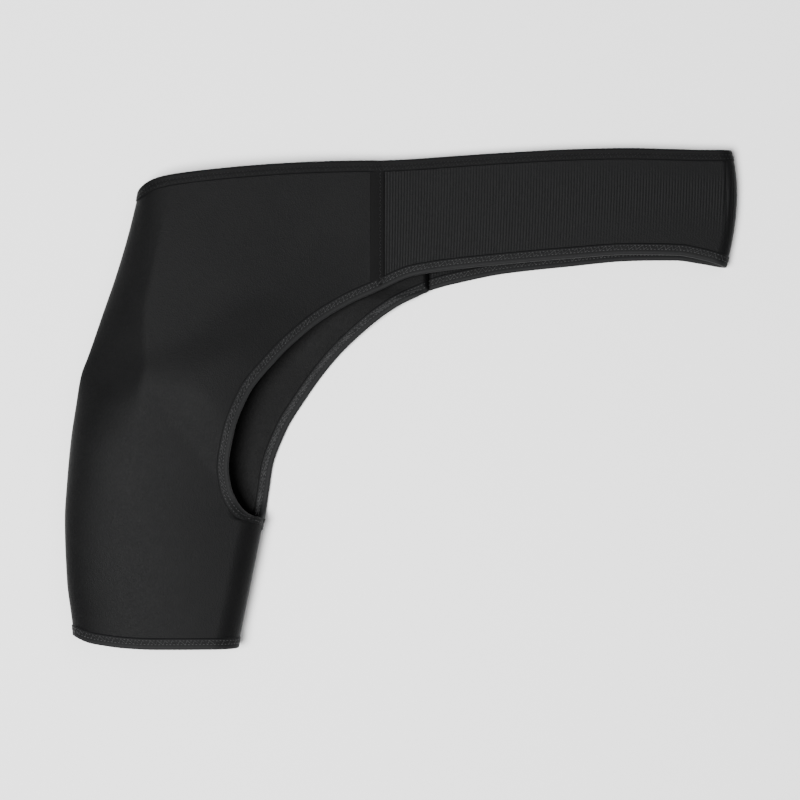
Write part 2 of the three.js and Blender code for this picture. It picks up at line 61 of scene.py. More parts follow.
def addCamera():
    data = bpy.data.cameras.new("camera")
    data.sensor_width = cameraLook["sensor"]
    distance = cameraLook["height"] - cameraLook["strapHeight"]
    data.lens = cameraLook["sensor"] * distance / cameraLook["across"]
    camera = bpy.data.objects.new("camera", data)
    camera.location = (cameraLook["shiftX"], cameraLook["shiftY"], cameraLook["height"])
    bpy.context.scene.collection.objects.link(camera)
    bpy.context.scene.camera = camera


addCamera()

# Sizes of the brace in millimetres: X along the chest, Y toward the shoulder, Z up.
brace = {
    "neopreneWall": 3.5,
    "strapWall": 2.8,
    "tapeWall": 0.8,
    "clearance": 0.3,
    "bindingWidth": 9,
    "bindingRound": 0.25,
    "sleeveLength": 114.5,
    "sleeveWidth": 175.5,
    "sleeveTaper": 23,
    "cuffInset": 8,
    "cuffRise": 11,
    "shoulderRise": 294.8,
    "shoulderInset": 66,
    "neckRise": 27,
    "armholeReach": 104,
    "backReach": 150,
    "loftHeight": 50,
    "ridgeReach": 70,
    "tailReach": 250,
    "noseHeight": 21,
    "noseReach": 24,
    "underarmHeight": 20,
    "underarmReach": 20,
    "underarmBack": 28,
    "strapLength": 318,
    "strapWidth": 92.5,
    "strapFlare": 22,
    "foldFlare": 11.5,
    "strapRise": 11.6,
    "strapLoft": 21,
    "backDrop": 15,
    "foldReach": 11,
    "foldBow": 7.2,
    "foldInset": 4.5,
    "closureOverlap": 70,
    "closureTaper": 13,
    "seamTapeWidth": 12.6,
}

seamHeight = brace["strapWidth"] + brace["strapFlare"]
armholeHeight = brace["shoulderRise"] + brace["neckRise"] - seamHeight
armpitY = brace["sleeveLength"]
shoulderTop = armpitY + brace["shoulderRise"]
seamLow = armpitY + armholeHeight
seamTop = seamLow + seamHeight
seamShare = 1 - armholeHeight / brace["shoulderRise"]
seamX = brace["sleeveWidth"] + brace["armholeReach"]
panelEndX = brace["sleeveWidth"] + brace["backReach"]
boundHeight = brace["neopreneWall"] / 2 + brace["clearance"] + brace["tapeWall"] + brace["bindingRound"]
closureRise = 2 * boundHeight + 2 * brace["clearance"]
edgeLift = boundHeight - brace["neopreneWall"] / 2
hemTape = brace["tapeWall"] + 1.5 * brace["clearance"]

# Outer fold: shares of shoulderInset and cuffInset. 0 neckline, 1 armpit, 2 cuff.
foldTable = [
    {"at": 0, "shoulder": 1, "cuff": 0},
    {"at": 0.118, "shoulder": 0.873, "cuff": 0},
    {"at": 0.25, "shoulder": 0.7, "cuff": 0},
    {"at": 0.361, "shoulder": 0.53, "cuff": 0},
    {"at": 0.5, "shoulder": 0.318, "cuff": 0},
    {"at": 0.56, "shoulder": 0.22, "cuff": 0},
    {"at": 0.65, "shoulder": 0.152, "cuff": 0},
    {"at": 0.755, "shoulder": 0.084, "cuff": 0},
    {"at": 0.877, "shoulder": 0.033, "cuff": 0},
    {"at": 1, "shoulder": 0, "cuff": 0},
    {"at": 1.5, "shoulder": 0, "cuff": 0.24},
    {"at": 1.8, "shoulder": 0, "cuff": 0.7},
    {"at": 2, "shoulder": 0, "cuff": 1},
]

# Cross sections: shares of noseHeight, ridgeReach, loftHeight and tailReach. Facet flattens the outer flank.
sectionTable = [
    {"at": 0, "nose": 0.81, "ridge": 0.49, "loft": 0.68, "tail": 1, "facet": 0},
    {"at": 0.12, "nose": 0.83, "ridge": 0.46, "loft": 0.74, "tail": 0.98, "facet": 0.25},
    {"at": 0.3, "nose": 0.86, "ridge": 0.5, "loft": 0.83, "tail": 0.96, "facet": 0.5},
    {"at": 0.42, "nose": 0.9, "ridge": 0.64, "loft": 0.89, "tail": 0.94, "facet": 0.65},
    {"at": 0.55, "nose": 0.95, "ridge": 0.84, "loft": 0.945, "tail": 0.92, "facet": 0.8},
    {"at": 0.65, "nose": 0.97, "ridge": 0.86, "loft": 0.975, "tail": 0.9, "facet": 0.35},
    {"at": 0.8, "nose": 0.99, "ridge": 0.9, "loft": 0.96, "tail": 0.88, "facet": 0},
    {"at": 1, "nose": 1, "ridge": 0.97, "loft": 0.92, "tail": 0.86, "facet": 0},
    {"at": 1.5, "nose": 0.98, "ridge": 1, "loft": 0.88, "tail": 0.82, "facet": 0},
    {"at": 2, "nose": 0.95, "ridge": 0.97, "loft": 0.84, "tail": 0.76, "facet": 0},
]

# Armhole edges: shares of armholeReach and backReach, by the root of the height above the armpit.
armholeTable = [
    {"at": 0, "front": 0, "back": 0},
    {"at": 0.05, "front": -0.035, "back": 0.001},
    {"at": 0.1, "front": -0.082, "back": 0.003},
    {"at": 0.18, "front": -0.143, "back": 0.007},
    {"at": 0.29, "front": -0.216, "back": 0.018},
    {"at": 0.39, "front": -0.268, "back": 0.032},
    {"at": 0.48, "front": -0.286, "back": 0.048},
    {"at": 0.62, "front": -0.237, "back": 0.128},
    {"at": 0.74, "front": -0.11, "back": 0.267},
    {"at": 0.84, "front": 0.14, "back": 0.434},
    {"at": 0.92, "front": 0.445, "back": 0.638},
    {"at": 0.97, "front": 0.742, "back": 0.824},
    {"at": 1, "front": 1, "back": 1},
]

# Hem: share of cuffRise across the flat sleeve.
hemTable = [
    {"at": 0, "lift": 1},
    {"at": 0.1, "lift": 0.51},
    {"at": 0.2, "lift": 0.31},
    {"at": 0.33, "lift": 0.13},
    {"at": 0.5, "lift": 0.03},
    {"at": 1, "lift": 0},
]

# Strap: shares of strapRise, strapFlare, foldFlare and backDrop from front seam to far fold.
strapTable = [
    {"at": 0, "rise": 0, "flare": 1, "fold": 0, "drop": 1},
    {"at": 0.105, "rise": 0.15, "flare": 0.445, "fold": 0, "drop": 1.08},
    {"at": 0.208, "rise": 0.36, "flare": 0.315, "fold": 0, "drop": 0.84},
    {"at": 0.37, "rise": 0.655, "flare": 0.23, "fold": 0, "drop": 0.5},
    {"at": 0.533, "rise": 0.89, "flare": 0.145, "fold": 0, "drop": 0.43},
    {"at": 0.7, "rise": 1, "flare": 0.035, "fold": 0, "drop": 0.33},
    {"at": 0.85, "rise": 0.91, "flare": 0, "fold": 0.03, "drop": 0.24},
    {"at": 0.92, "rise": 0.86, "flare": 0, "fold": 0.33, "drop": 0.17},
    {"at": 1, "rise": 0.86, "flare": 0, "fold": 1, "drop": 0},
]

# How the shape swells and settles between the tables' rows.
shapeLook = {
    "neckQuickShare": 0.36,  # of the neckline's rise, taken up close to the shoulder
    "neckQuickReach": 0.04,
    "neckSlowPower": 1.9,
    "slantStep": 0.004,
    "frontTipRise": 0.6,  # how fast the front stands up above the armpit
    "frontTipBend": 50,
    "backTipRise": 1.35,
    "bindingFar": 9,  # shares of bindingWidth
    "bindingEdge": 1.1,
    "bindingEase": 2.2,
    "closureReach": 0.36,  # share of backReach
    "closureEnd": 1.15,  # shares of seamShare
    "closureEase": 0.7,
    "strapEase": 0.26,  # share of the strap's width
}


def clamp(value):
    return min(max(value, 0), 1)


def mix(start, end, share):
    return start + (end - start) * share


def ease(value):
    return clamp(value) ** 2 * (3 - 2 * clamp(value))


def rounding(value):
    return math.sqrt(1 - (1 - clamp(value)) ** 2)  # quarter of an ellipse


# Smooth value of one column of a table, without overshoot.
def lookUp(table, column, at):
    last = len(table) - 1
    place = min(max(at, table[0]["at"]), table[last]["at"])
    k = 0
    while k < last - 1 and place > table[k + 1]["at"]:
        k += 1

    def slope(i):
        return (table[i + 1][column] - table[i][column]) / (table[i + 1]["at"] - table[i]["at"])

    def tangent(i):
        if i == 0:
            return slope(0)
        if i == last:
            return slope(last - 1)
        before, after = slope(i - 1), slope(i)
        return 0 if before * after <= 0 else 2 * before * after / (before + after)

    run = table[k + 1]["at"] - table[k]["at"]
    u = (place - table[k]["at"]) / run
    start = table[k][column] * (1 + 2 * u) * (1 - u) ** 2 + tangent(k) * run * u * (1 - u) ** 2
    end = table[k + 1][column] * (3 - 2 * u) * u**2 - tangent(k + 1) * run * (1 - u) * u**2
    return start + end


@lru_cache(maxsize=None)
def foldX(t):
    shoulder = brace["shoulderInset"] * lookUp(foldTable, "shoulder", t)
    return shoulder + brace["cuffInset"] * lookUp(foldTable, "cuff", t)


@lru_cache(maxsize=None)
def edgeX(t, side):
    if t >= 1:
        return brace["sleeveWidth"] - brace["sleeveTaper"] * (t - 1)
    reach = brace["armholeReach"] if side == "front" else brace["backReach"]
    root = math.sqrt(clamp((1 - t) / (1 - seamShare)))
    return brace["sleeveWidth"] + reach * lookUp(armholeTable, side, root)


@lru_cache(maxsize=None)
def section(t):
    return {
        "nose": brace["noseHeight"] * lookUp(sectionTable, "nose", t),
        "ridge": brace["ridgeReach"] * lookUp(sectionTable, "ridge", t),
        "loft": brace["loftHeight"] * lookUp(sectionTable, "loft", t),
        "tail": brace["tailReach"] * lookUp(sectionTable, "tail", t),
        "facet": lookUp(sectionTable, "facet", t),
    }


@lru_cache(maxsize=None)
def edgeSlant(t, side):
    step = shapeLook["slantStep"]
    low, high = min(t + step, 1), max(t - step, seamShare)
    run = edgeX(high, side) - edgeX(low, side)
    rise = brace["shoulderRise"] * (low - high)
    return rise / math.hypot(run, rise)


# Upper edge of the panel, and of the strap past the front seam.
def neckY(x):
    if x > seamX:
        return seamTop + brace["strapRise"] * lookUp(strapTable, "rise", (x - seamX) / brace["strapLength"])
    share = clamp((x - brace["shoulderInset"]) / (seamX - brace["shoulderInset"]))
    quick = 1 - math.exp(-share / shapeLook["neckQuickReach"])
    slow = 1 - (1 - share) ** shapeLook["neckSlowPower"]
    return shoulderTop + brace["neckRise"] * mix(slow, quick, shapeLook["neckQuickShare"])


def hemY(x):
    width = brace["sleeveWidth"] - brace["sleeveTaper"] - brace["cuffInset"]
    lift = lookUp(hemTable, "lift", (x - brace["cuffInset"]) / width)
    return hemTape + brace["cuffRise"] * lift


def rowY(t, x):
    if t <= seamShare:
        return mix(neckY(x), seamLow, t / seamShare)
    if t <= 1:
        return shoulderTop - brace["shoulderRise"] * t
    return armpitY * (2 - t) + hemY(x) * (t - 1) ** 2


# Facet of cloth that tilts up from a crease. The crease runs from the apex down to the armpit.
wedgeLook = {
    "apexX": 0.41,  # shares of sleeveWidth, and of shoulderRise above the armpit
    "apexY": 0.435,
    "creaseX": 0.36,
    "creaseY": -0.29,
    "height": 6.4,
    "rampWidth": 40,
    "fadeWidth": 210,
    "apexReach": 55,
    "apexStart": 0.25,
    "creaseWidth": 3,
    "apexSwell": 2,
    "swellReach": 20,
}


def relief(x, y):
    look = wedgeLook
    run = look["creaseX"] * brace["sleeveWidth"]
    rise = look["creaseY"] * brace["shoulderRise"]
    crease = Vector((run, rise)).normalized()
    apexX = look["apexX"] * brace["sleeveWidth"]
    apexY = armpitY + look["apexY"] * brace["shoulderRise"]
    away = Vector((x - apexX, y - apexY))
    along = away.dot(crease)
    over = away.y * crease.x - away.x * crease.y  # grows upward and to the right of the crease
    softened = 0.5 * (over + math.hypot(over, look["creaseWidth"]))
    ramp = min(softened / look["rampWidth"], 1)
    ramp = ramp * (1.5 - 0.5 * ramp**2)  # levels off where the fade begins
    fade = 1 - ease((over - look["rampWidth"]) / look["fadeWidth"])
    facet = look["height"] * ramp * fade * ease(look["apexStart"] + along / look["apexReach"])
    return facet + look["apexSwell"] * math.exp(-((away.length / look["swellReach"]) ** 2))


def frontHeight(t, distance, x, y):
    shape = section(t)
    fall = clamp((distance - shape["ridge"]) / shape["tail"])
    loft = brace["strapLoft"]
    openHeight = loft + (shape["loft"] - loft) * 0.5 * (1 + math.cos(math.pi * fall))
    above = brace["shoulderRise"] * max(0, 1 - t)
    standing = shapeLook["frontTipRise"] * above * (1 + above / shapeLook["frontTipBend"])
    toTip = edgeX(t, "front") - foldX(t) - distance + standing
    tip = rounding(toTip / brace["underarmReach"])
    raised = openHeight + relief(x, y) * tip
    flank = mix(rounding(distance / shape["ridge"]), clamp(distance / shape["ridge"]), shape["facet"])
    return mix(shape["nose"], mix(brace["underarmHeight"], raised, tip), flank)


# Back layer's height over the surface: lifted at its bindings, and over the strap's closure.
def backFloor(t, x, y):
    look = shapeLook
    far = brace["bindingWidth"] * look["bindingFar"]
    toNeck = neckY(x) - y if t < 1 else far
    toEdge = (edgeX(t, "back") - x) * edgeSlant(t, "back") if seamShare < t < 1 else far
    away = min(toNeck, y - hemY(x), toEdge) - brace["bindingWidth"] * look["bindingEdge"]
    lift = edgeLift * (1 - ease(away / (brace["bindingWidth"] * look["bindingEase"])))
    across = ease((x - brace["sleeveWidth"]) / (brace["backReach"] * look["closureReach"]))
    down = 1 - ease((t - seamShare * look["closureEnd"]) / (seamShare * look["closureEase"]))
    return brace["neopreneWall"] / 2 + lift + closureRise * across * down


def backHeight(t, distance, x, y):
    above = brace["shoulderRise"] * max(0, 1 - t)
    toTip = edgeX(t, "back") - foldX(t) - distance + shapeLook["backTipRise"] * above
    under = mix(brace["underarmHeight"], backFloor(t, x, y), rounding(toTip / brace["underarmBack"]))
    return mix(section(t)["nose"], under, rounding(distance / brace["noseReach"]))


def clothPoint(t, side, distance):
    x = foldX(t) + distance
    y = rowY(t, x)
    height = frontHeight if side == "front" else backHeight
    return Vector((x, y, height(t, distance, x, y)))


def strapHeight(x, lower):
    share = (x - seamX) / brace["strapLength"]
    width = brace["strapWidth"] + brace["strapFlare"] * lookUp(strapTable, "flare", share)
    width += brace["foldFlare"] * lookUp(strapTable, "fold", share)
    return width + lower * brace["backDrop"] * lookUp(strapTable, "drop", share)


def closureNarrowing(x):
    return brace["closureTaper"] * ease((panelEndX - x) / brace["closureOverlap"])


def strapFront(v, x):
    drop = v * strapHeight(x, 0)
    y = neckY(x) - drop
    t = seamShare * v
    return Vector((x, y, frontHeight(t, x - foldX(t), x, y)))


def strapBack(v, x):
    anchored = max(x, panelEndX)
    height = strapHeight(anchored, 1) - 2 * closureNarrowing(x)
    y = neckY(anchored) - closureNarrowing(x) - v * height
    inside = min(v, 1 - v) * height - brace["bindingWidth"]
    lift = 1 - ease(inside / (shapeLook["strapEase"] * height - brace["bindingWidth"]))
    return Vector((x, y, mix(brace["strapWall"] / 2, boundHeight, lift)))


# Where the shape's own millimetres lie in the frame, told by the pad under the back panel.
def findShift():
    low, high = (Vector(corner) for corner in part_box("hook_pad"))
    x = panelEndX - brace["closureOverlap"] / 2
    pad = Vector((x, strapBack(0.5, x).y, brace["strapWall"] + brace["clearance"])) * mm
    return Vector(((low.x + high.x) / 2, (low.y + high.y) / 2, low.z)) - pad


shift = findShift()


def toFrame(point):
    return point * mm + shift


clothLook = {
    "backColumns": 46,
    "backNoseColumns": 10,
    "frontNoseColumns": 18,
    "frontColumns": 52,
    "panelRows": 24,
    "armholeRows": 60,
    "sleeveRows": 30,
    "edgePoints": 120,
    "armholeBunch": 1.65,  # rows gather toward the armpit
    "bunch": 0.9,  # columns gather toward the edge, from bunchStart down
    "bunchStart": 0.6,
    "bunchPace": 2.5,
}
weldReach = 1e-5


# One row of the cloth, from the back layer's edge round the outer fold to the front's edge.
def clothRow(t):
    points = []
    ridge = section(t)["ridge"]
    backEdge = edgeX(t, "back") - foldX(t)
    frontEdge = edgeX(t, "front") - foldX(t)
    bunch = 1 + clothLook["bunch"] * ease((t - clothLook["bunchStart"]) * clothLook["bunchPace"])
    for i in range(clothLook["backColumns"]):
        share = (i / clothLook["backColumns"]) ** bunch
        points.append(clothPoint(t, "back", mix(backEdge, brace["noseReach"], share)))
    for i in range(clothLook["backNoseColumns"]):
        angle = i / clothLook["backNoseColumns"] * math.pi / 2
        points.append(clothPoint(t, "back", brace["noseReach"] * (1 - math.sin(angle))))
    for i in range(clothLook["frontNoseColumns"]):
        angle = i / clothLook["frontNoseColumns"] * math.pi / 2
        points.append(clothPoint(t, "front", ridge * (1 - math.cos(angle))))
    for i in range(clothLook["frontColumns"] + 1):
        share = 1 - (1 - i / clothLook["frontColumns"]) ** bunch
        points.append(clothPoint(t, "front", mix(ridge, frontEdge, share)))
    return [toFrame(point) for point in points]


def armholeShare(along):
    return 1 - (1 - seamShare) * (1 - along) ** clothLook["armholeBunch"]


def clothShares():
    panel, armhole, sleeve = clothLook["panelRows"], clothLook["armholeRows"], clothLook["sleeveRows"]
    shares = [seamShare * i / panel for i in range(panel)]
    shares += [armholeShare(i / armhole) for i in range(armhole)]
    return shares + [1 + i / sleeve for i in range(sleeve + 1)]


# A grid whose corners are put where the rows say, with one share kept at each corner.
def gridFromRows(rows, shares=None):
    bm = bmesh.new()
    down, along = len(rows) - 1, len(rows[0]) - 1
    kept = bm.verts.layers.float.new("share") if shares else None
    made = bmesh.ops.create_grid(bm, x_segments=along, y_segments=down, size=0.5)
    for vert in made["verts"]:
        i, j = round((vert.co.x + 0.5) * along), round((0.5 - vert.co.y) * down)
        vert.co = rows[j][i]
        if shares:
            vert[kept] = shares[j][i]
    return bm


def newPiece(name, bm, smooth=True):
    mesh = bpy.data.meshes.new(name)
    bm.to_mesh(mesh)
    bm.free()
    for face in mesh.polygons:
        face.use_smooth = smooth
    piece = bpy.data.objects.new(name, mesh)
    bpy.context.scene.collection.objects.link(piece)
    return piece


def addWall(piece, wall):
    solidify = piece.modifiers.new("wall", "SOLIDIFY")
    solidify.thickness = wall * mm
    solidify.offset = 0
    solidify.use_even_offset = True
    solidify.use_quality_normals = True
    with bpy.context.temp_override(object=piece, active_object=piece, selected_objects=[piece]):
        bpy.ops.object.modifier_apply(modifier=solidify.name)


# Ribbed band. Ribs run across it.
bandLook = {
    "frontColumns": 720,
    "foldColumns": 60,
    "backColumns": 720,
    "rows": 16,
    "ribPitch": 2.6,
    "ribHeight": 0.14,
    "grooveInset": 4.4,  # pressed line beside the far fold
    "grooveDepth": 0.6,
    "grooveWidth": 1.1,
    "grooveStart": 8,
    "grooveEnd": 0.7,
    "grooveFade": 3,
    "bowPower": 0.85,
    "middleStep": 4,  # every fourth column carries the bindings
}


def strapRow(v):
    share = v ** bandLook["bowPower"]
    bow = 4 * share * (1 - share)
    tip = seamX + brace["strapLength"] - brace["foldInset"] * v + brace["foldBow"] * bow
    foldStart = tip - brace["foldReach"]
    freeEnd = panelEndX - brace["closureOverlap"]
    count = bandLook["frontColumns"]
    start = seamX + brace["clearance"]
    points = [strapFront(v, mix(start, foldStart, i / count)) for i in range(count)]
    upper, lower = strapFront(v, foldStart), strapBack(v, foldStart)
    count = bandLook["foldColumns"]
    for i in range(count):
        angle = i / count * math.pi
        x = foldStart + brace["foldReach"] * math.sin(angle)
        y = mix(strapFront(v, x).y, strapBack(v, x).y, ease(i / count))
        points.append(Vector((x, y, mix(lower.z, upper.z, 0.5 + 0.5 * math.cos(angle)))))
    count = bandLook["backColumns"]
    points += [strapBack(v, mix(foldStart, freeEnd, i / count)) for i in range(count + 1)]
    return [toFrame(point) for point in points]


# Depth of the pressed line beside the far fold. It fades toward the band's edges.
def grooveDepth(x, v):
    look = bandLook
    centre = (seamX + brace["strapLength"] - look["grooveInset"]) * mm + shift.x
    inner = ease(look["grooveStart"] * v) * ease(look["grooveFade"] * (look["grooveEnd"] - v))
    away = (x - centre) / (look["grooveWidth"] * mm)
    return look["grooveDepth"] * inner * math.exp(-(away**2))


# Raises the ribs, presses the line beside the far fold, and keeps each corner's rib share, which paints the
# rib crests lighter as a painted highlight.
def ribbed(rows):
    places, shares = [], []
    frontEnd = bandLook["frontColumns"] + bandLook["foldColumns"] // 2
    for j, row in enumerate(rows):
        travelled = 0
        placeRow, shareRow = [], []
        for i, point in enumerate(row):
            before, after = row[max(i - 1, 0)], row[min(i + 1, len(row) - 1)]
            travelled += (point - before).length if i else 0
            along = (after - before).normalized()
            out = Vector((0, 1, 0)).cross(along).normalized() * -1
            wave = math.cos(2 * math.pi * travelled / (bandLook["ribPitch"] * mm))
            groove = grooveDepth(point.x, j / bandLook["rows"]) if i < frontEnd else 0
            placeRow.append(point + out * (wave * bandLook["ribHeight"] - groove) * mm)
            # crests get a share near 1, which the material paints lighter: a painted highlight
            shareRow.append(0.5 + 0.5 * wave)
        places.append(placeRow)
        shares.append(shareRow)
    return places, shares


# Mid surface of both cloths, used to lay bindings and stitches on.
def surfaceFinder(bm):
    bm.normal_update()
    bm.faces.ensure_lookup_table()
    tree = BVHTree.FromBMesh(bm)

    def nearest(point):
        place, _, index, _ = tree.find_nearest(point)
        normal = Vector()
        for vert in bm.faces[index].verts:
            normal += vert.normal / ((vert.co - place).length + weldReach)
        return place, normal.normalized()

    return nearest


clothRows = [clothRow(t) for t in clothShares()]
bandRows = [strapRow(j / bandLook["rows"]) for j in range(bandLook["rows"] + 1)]

middle = gridFromRows(clothRows)
bandMiddle = gridFromRows([row[:: bandLook["middleStep"]] for row in bandRows])
bandMesh = bpy.data.meshes.new("bandMiddle")
bandMiddle.to_mesh(bandMesh)
bandMiddle.free()
middle.from_mesh(bandMesh)
bpy.data.meshes.remove(bandMesh)
bmesh.ops.remove_doubles(middle, verts=middle.verts, dist=weldReach)
nearestCloth = surfaceFinder(middle)
print("cloth laid out")


# Materials. Patterns read object coordinates, and shares kept on the mesh.
def material(name, color, roughness, specular):
    made = bpy.data.materials.new(name)
    made.use_nodes = True
    shader = made.node_tree.nodes["Principled BSDF"]
    shader.inputs["Base Color"].default_value = (*color, 1)
    shader.inputs["Roughness"].default_value = roughness
    shader.inputs["Specular IOR Level"].default_value = specular
    return made, shader


def addNode(made, kind, **values):
    node = made.node_tree.nodes.new(kind)
    for key, value in values.items():
        if key in node.inputs:
            node.inputs[key].default_value = value
        else:
            setattr(node, key, value)
    return node


def link(made, source, output, target, entry):
    made.node_tree.links.new(source.outputs[output], target.inputs[entry])


weaveLook = {
    "cloudDetail": 6,
    "cloudRoughness": 0.65,
    "darkBelow": 0.36,
    "lightAbove": 0.66,
    "grainShare": 0.35,  # of threadScale
    "grainDetail": 4,
    "bumpStrength": 0.6,
}


# Colour clouds between two near shades, a grain of threads, and a second shade where the share is high,
# which paints highlights on rib crests and folded tape edges and darkens the lining with painted shade.
def fabricMaterial(name, look):
    made, shader = material(name, look["dark"], look["roughness"], look["specular"])
    place = addNode(made, "ShaderNodeTexCoord")
    cloud = addNode(made, "ShaderNodeTexNoise", Scale=look["cloudScale"], Detail=weaveLook["cloudDetail"])
    cloud.inputs["Roughness"].default_value = weaveLook["cloudRoughness"]
    link(made, place, "Object", cloud, "Vector")
    ramp = addNode(made, "ShaderNodeValToRGB")
    limits = (("dark", "darkBelow"), ("light", "lightAbove"))
    for stop, (shade, limit) in zip(ramp.color_ramp.elements, limits):
        stop.position = weaveLook[limit]
        stop.color = (*look[shade], 1)
    link(made, cloud, "Fac", ramp, "Fac")
    kept = addNode(made, "ShaderNodeAttribute", attribute_name="share")
    # second shade, used for painted highlights and painted shade
    raised = addNode(made, "ShaderNodeMix", data_type="RGBA")
    raised.inputs[7].default_value = (*look["raised"], 1)
    link(made, kept, "Fac", raised, 0)
    made.node_tree.links.new(ramp.outputs["Color"], raised.inputs[6])
    made.node_tree.links.new(raised.outputs[2], shader.inputs["Base Color"])
    threads = addNode(made, "ShaderNodeTexVoronoi", Scale=look["threadScale"])
    link(made, place, "Object", threads, "Vector")
    grainScale = look["threadScale"] * weaveLook["grainShare"]
    grain = addNode(made, "ShaderNodeTexNoise", Scale=grainScale, Detail=weaveLook["grainDetail"])
    link(made, place, "Object", grain, "Vector")
    both = addNode(made, "ShaderNodeMath", operation="ADD")
    link(made, threads, "Distance", both, 0)
    link(made, grain, "Fac", both, 1)
    depth = look["bumpDepth"] * mm
    bump = addNode(made, "ShaderNodeBump", Strength=weaveLook["bumpStrength"], Distance=depth)
    link(made, both, "Value", bump, "Height")
    link(made, bump, "Normal", shader, "Normal")
    return made


fabricLooks = {
    "neoprene": {
        "dark": (0.0031, 0.00315, 0.0033),
        "light": (0.0039, 0.00395, 0.0041),
        "raised": (0.0013, 0.0013, 0.0014),  # the lining, darkened further as painted shade inside the hollow
        "roughness": 0.5,
        "specular": 0.06,
        "cloudScale": 16,
        "threadScale": 1400,
        "bumpDepth": 0.3,
    },
    "ribKnit": {
        "dark": (0.0027, 0.00275, 0.0029),
        "light": (0.0033, 0.00335, 0.0035),
        # lighter rib crests: painted highlight
        "raised": (0.0044, 0.0045, 0.0047),
        "roughness": 0.5,
        "specular": 0.06,
        "cloudScale": 20,
        "threadScale": 1100,
        "bumpDepth": 0.3,
    },
    # darker copy of the tape cloth: painted shade along the neckline
    "shadedNeckCloth": {
        "dark": (0.0029, 0.00295, 0.0031),
        "light": (0.0036, 0.00365, 0.0038),
        # painted highlight along the neck tape's folded edge
        "raised": (0.0046, 0.0047, 0.0049),
        "roughness": 0.55,
        "specular": 0.05,
        "cloudScale": 30,
        "threadScale": 1800,
        "bumpDepth": 0.2,
    },
    "tapeCloth": {
        "dark": (0.0044, 0.0045, 0.0047),
        "light": (0.0058, 0.0059, 0.0061),
        "raised": (0.011, 0.0112, 0.0115),  # painted highlight along the folded edge
        "roughness": 0.55,
        "specular": 0.06,
        "cloudScale": 30,
        "threadScale": 1800,
        "bumpDepth": 0.2,
    },
    "seamCloth": {
        "dark": (0.0027, 0.0027, 0.0028),
        "light": (0.0033, 0.0033, 0.0034),
        "raised": (0.0033, 0.0033, 0.0034),
        "roughness": 0.6,
        "specular": 0.045,
        "cloudScale": 30,
        "threadScale": 1800,
        "bumpDepth": 0.2,
    },
    "thread": {
        "dark": (0.03, 0.0303, 0.031),
        "light": (0.052, 0.0524, 0.0534),
        "raised": (0.052, 0.0524, 0.0534),
        "roughness": 0.5,
        "specular": 0.1,
        "cloudScale": 120,
        "threadScale": 2600,
        "bumpDepth": 0.1,
    },
    "seamThread": {
        "dark": (0.009, 0.0091, 0.0094),
        "light": (0.013, 0.0131, 0.0134),
        "raised": (0.013, 0.0131, 0.0134),
        "roughness": 0.5,
        "specular": 0.1,
        "cloudScale": 120,
        "threadScale": 2600,
        "bumpDepth": 0.1,
    },
    "hookCloth": {
        "dark": (0.003, 0.003, 0.0032),
        "light": (0.005, 0.005, 0.0053),
        "raised": (0.005, 0.005, 0.0053),
        "roughness": 0.9,
        "specular": 0.05,
        "cloudScale": 40,
        "threadScale": 900,
        "bumpDepth": 0.5,
    },
}
fabrics = {name: fabricMaterial(name, look) for name, look in fabricLooks.items()}


def finishPiece(piece, made, nodes=()):
    piece.data.materials.append(fabrics[made])
    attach(piece, "root")
    if nodes:
        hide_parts(*nodes)


# Padded neoprene: shoulder cap, both panels and the sleeve in one cloth, with a darker lining inside, its
# darkness partly painted shade in the hollow.
def makeCloth():
    bm = gridFromRows(clothRows)
    bmesh.ops.remove_doubles(bm, verts=bm.verts, dist=weldReach)
    bm.normal_update()
    middles = [(vert.co.copy(), vert.normal.copy()) for vert in bm.verts]
    cloth = newPiece("neopreneCloth", bm)
    addWall(cloth, brace["neopreneWall"])
    liningAndShade = cloth.data.attributes.new("share", "FLOAT", "POINT")
    # inner faces take the dark lining colour, which also serves as painted shade inside the sleeve and under
    # the front
    for i, vert in enumerate(cloth.data.vertices):
        place, normal = middles[i % len(middles)]
        liningAndShade.data[i].value = 1 if (vert.co - place).dot(normal) < 0 else 0
    finishPiece(cloth, "neoprene", ["body_panel"])


def makeBand():
    places, shares = ribbed(bandRows)
    band = newPiece("chestBand", gridFromRows(places, shares))
    addWall(band, brace["strapWall"])
    finishPiece(band, "ribKnit", ["chest_strap"])


makeCloth()
makeBand()
print("cloth and band made")

bindingLook = {
    "spacing": 2.4,  # between cross sections
    "tape": 1.0,  # stands off the cloth
    "endTape": 0.35,
    "endTaper": 7,
    "steps": 8,
    "foldSteps": 8,
    "pucker": 0.12,
    "puckerPitch": 5.2,
    "stitchDip": 0.3,
    "stitchRows": (3.4, 6.9),
    "edgeHighlightReach": 1.6,  # how far in from the folded edge the painted highlight reaches
    "dipWidth": 0.6,
    "thinnest": 0.15,
    "rimStart": 0.35,  # share of the height at the tape's own edge
    "rimReach": 0.8,
    "foldOut": 0.62,
    "innerGap": 0.06,
    "innerTip": 0.3,
    "firstStep": 0.8,
    "leastMove": 0.2,  # share of a step
    "seamBlend": 6,
    "weld": 1e-6,
}


def resample(points, spacing, closed=False):
    if closed:
        points = points + [points[0]]
    lengths = [0]
    for before, after in zip(points, points[1:]):
        lengths.append(lengths[-1] + (after - before).length)
    count = max(4, round(lengths[-1] / (spacing * mm)))
    result = []
    k = 0
    for i in range(count if closed else count + 1):
        target = lengths[-1] * i / count
        while k < len(points) - 2 and lengths[k + 1] < target:
            k += 1
        span = max(lengths[k + 1] - lengths[k], 1e-9)
        result.append(points[k].lerp(points[k + 1], (target - lengths[k]) / span))
    return result


